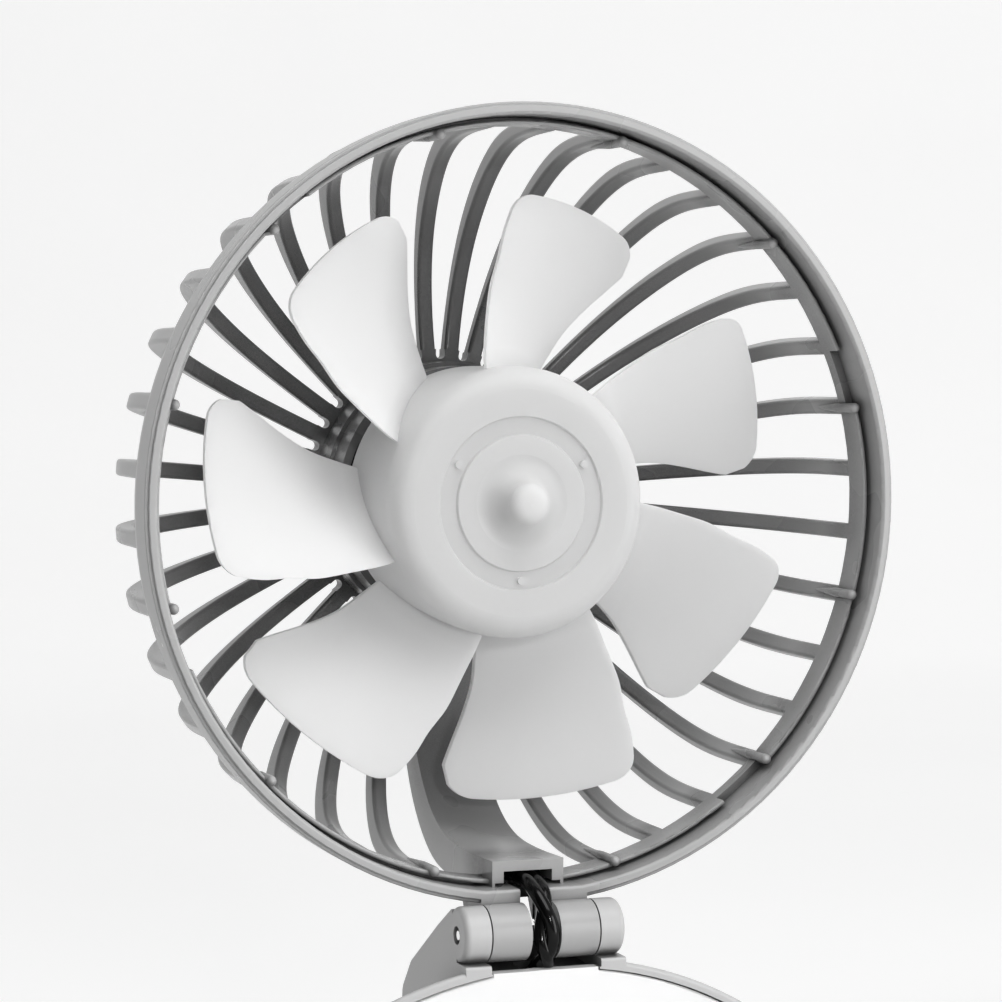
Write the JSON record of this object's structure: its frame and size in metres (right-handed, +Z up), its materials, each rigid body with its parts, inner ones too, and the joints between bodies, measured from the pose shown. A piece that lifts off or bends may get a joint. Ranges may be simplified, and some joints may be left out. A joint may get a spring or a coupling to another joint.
{
  "type": "clip fan",
  "caption": "Small clip fan: open round head with ribbed grille and bladed rotor, tilting on a round battery base with a spring clip.",
  "frame": {"origin": "middle of the foot pad's face, on the surface that the fan stands on", "axes": "+Z up, +Y from the front of the fan to its back, +X to the right as seen from the front"},
  "size_m": [0.1122, 0.0492, 0.2157],
  "materials": {
    "grille_plastic": "light grey moulded plastic, satin",
    "rotor_plastic": "translucent white plastic, satin",
    "base_plastic": "light grey moulded plastic, satin",
    "face_gloss": "white plastic, polished",
    "black_plastic": "black plastic",
    "steel": "drawn steel, nickel plated",
    "pin_steel": "bright steel",
    "spring_steel": "spring wire",
    "bronze": "sintered bronze",
    "copper": "copper",
    "magnet": "sintered ferrite",
    "cable": "black cable sheath, glossy",
    "board": "green circuit board",
    "clear_plastic": "clear light guide",
    "foil": "cell foil",
    "rubber": "soft dark rubber"
  },
  "bodies": {
    "base": {"base_shell": "base_plastic", "face_plate": "face_gloss", "face_screws": "steel", "circuit_board": "board", "tact_switch": "black_plastic", "status_window": "clear_plastic", "usb_socket": "steel", "battery_cell": "foil", "foot_pad": "rubber", "base_clip_pad": "rubber", "hinge_pins": "pin_steel", "hinge_cable": "cable", "base_cable": "cable", "lead_grommet": "rubber", "clip_pin": "pin_steel", "clip_spring": "spring_steel"},
    "head": {"rear_grille": "grille_plastic", "spine_cover": "grille_plastic", "motor_cover": "grille_plastic", "motor_screws": "steel", "motor_can": "steel", "motor_front_bush": "bronze", "motor_end_cap": "black_plastic", "motor_rear_bush": "bronze", "motor_magnets": "magnet", "motor_brushes": "copper", "motor_cable": "cable"},
    "rotor": {"fan_rotor": "rotor_plastic", "motor_shaft": "steel", "motor_armature": "steel", "motor_windings": "copper", "motor_commutator": "copper"},
    "clip": {"clip_arm": "base_plastic", "clip_arm_pad": "rubber"},
    "button": {"power_button": "face_gloss"}
  },
  "joints": [
    {"name": "head_tilt", "type": "hinge", "parent": "base", "child": "head", "pos_m": [0, -0.0009, 0.1085], "axis": [1, 0, 0], "range_deg": [-28, 90], "deforming": ["hinge_cable"]},
    {"name": "fan_spin", "type": "hinge", "parent": "head", "child": "rotor", "pos_m": [0, 0.014, 0.1637], "axis": [0, 1, 0], "continuous": true},
    {"name": "clip_open", "type": "hinge", "parent": "base", "child": "clip", "pos_m": [0, 0.0295, 0.0587], "axis": [1, 0, 0], "range_deg": [0, 30], "stiffness_Nm_per_rad": 0.5, "springref_deg": -34.38, "deforming": ["clip_spring"]},
    {"name": "button_press", "type": "slide", "parent": "base", "child": "button", "axis": [0, 1, 0], "range_m": [0, 0.0004], "stiffness_N_per_m": 350, "springref_m": -0.0008}
  ]
}
